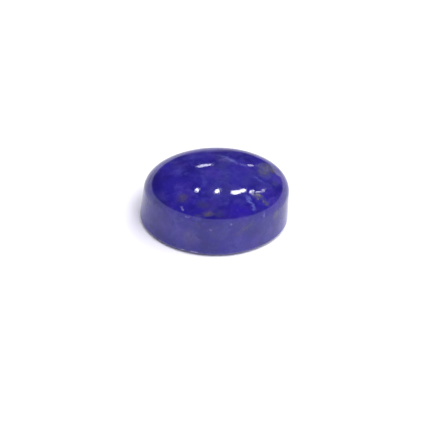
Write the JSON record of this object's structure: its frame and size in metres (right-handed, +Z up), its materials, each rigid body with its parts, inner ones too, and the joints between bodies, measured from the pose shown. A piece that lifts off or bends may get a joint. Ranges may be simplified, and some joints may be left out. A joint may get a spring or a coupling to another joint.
{
  "type": "lapis lazuli cabochon",
  "caption": "Polished oval lapis lazuli cabochon with a flat base, a slightly tapered wall and a domed top.",
  "frame": {"origin": "centre of the flat base, on the surface that the stone rests on", "axes": "+X along the oval's longer axis, +Y along its shorter axis, +Z up through the dome"},
  "size_m": [0.012, 0.0094, 0.0051],
  "materials": {
    "polished_lapis": "polished"
  },
  "bodies": {
    "root": {"cabochon": "polished_lapis"}
  },
  "joints": []
}
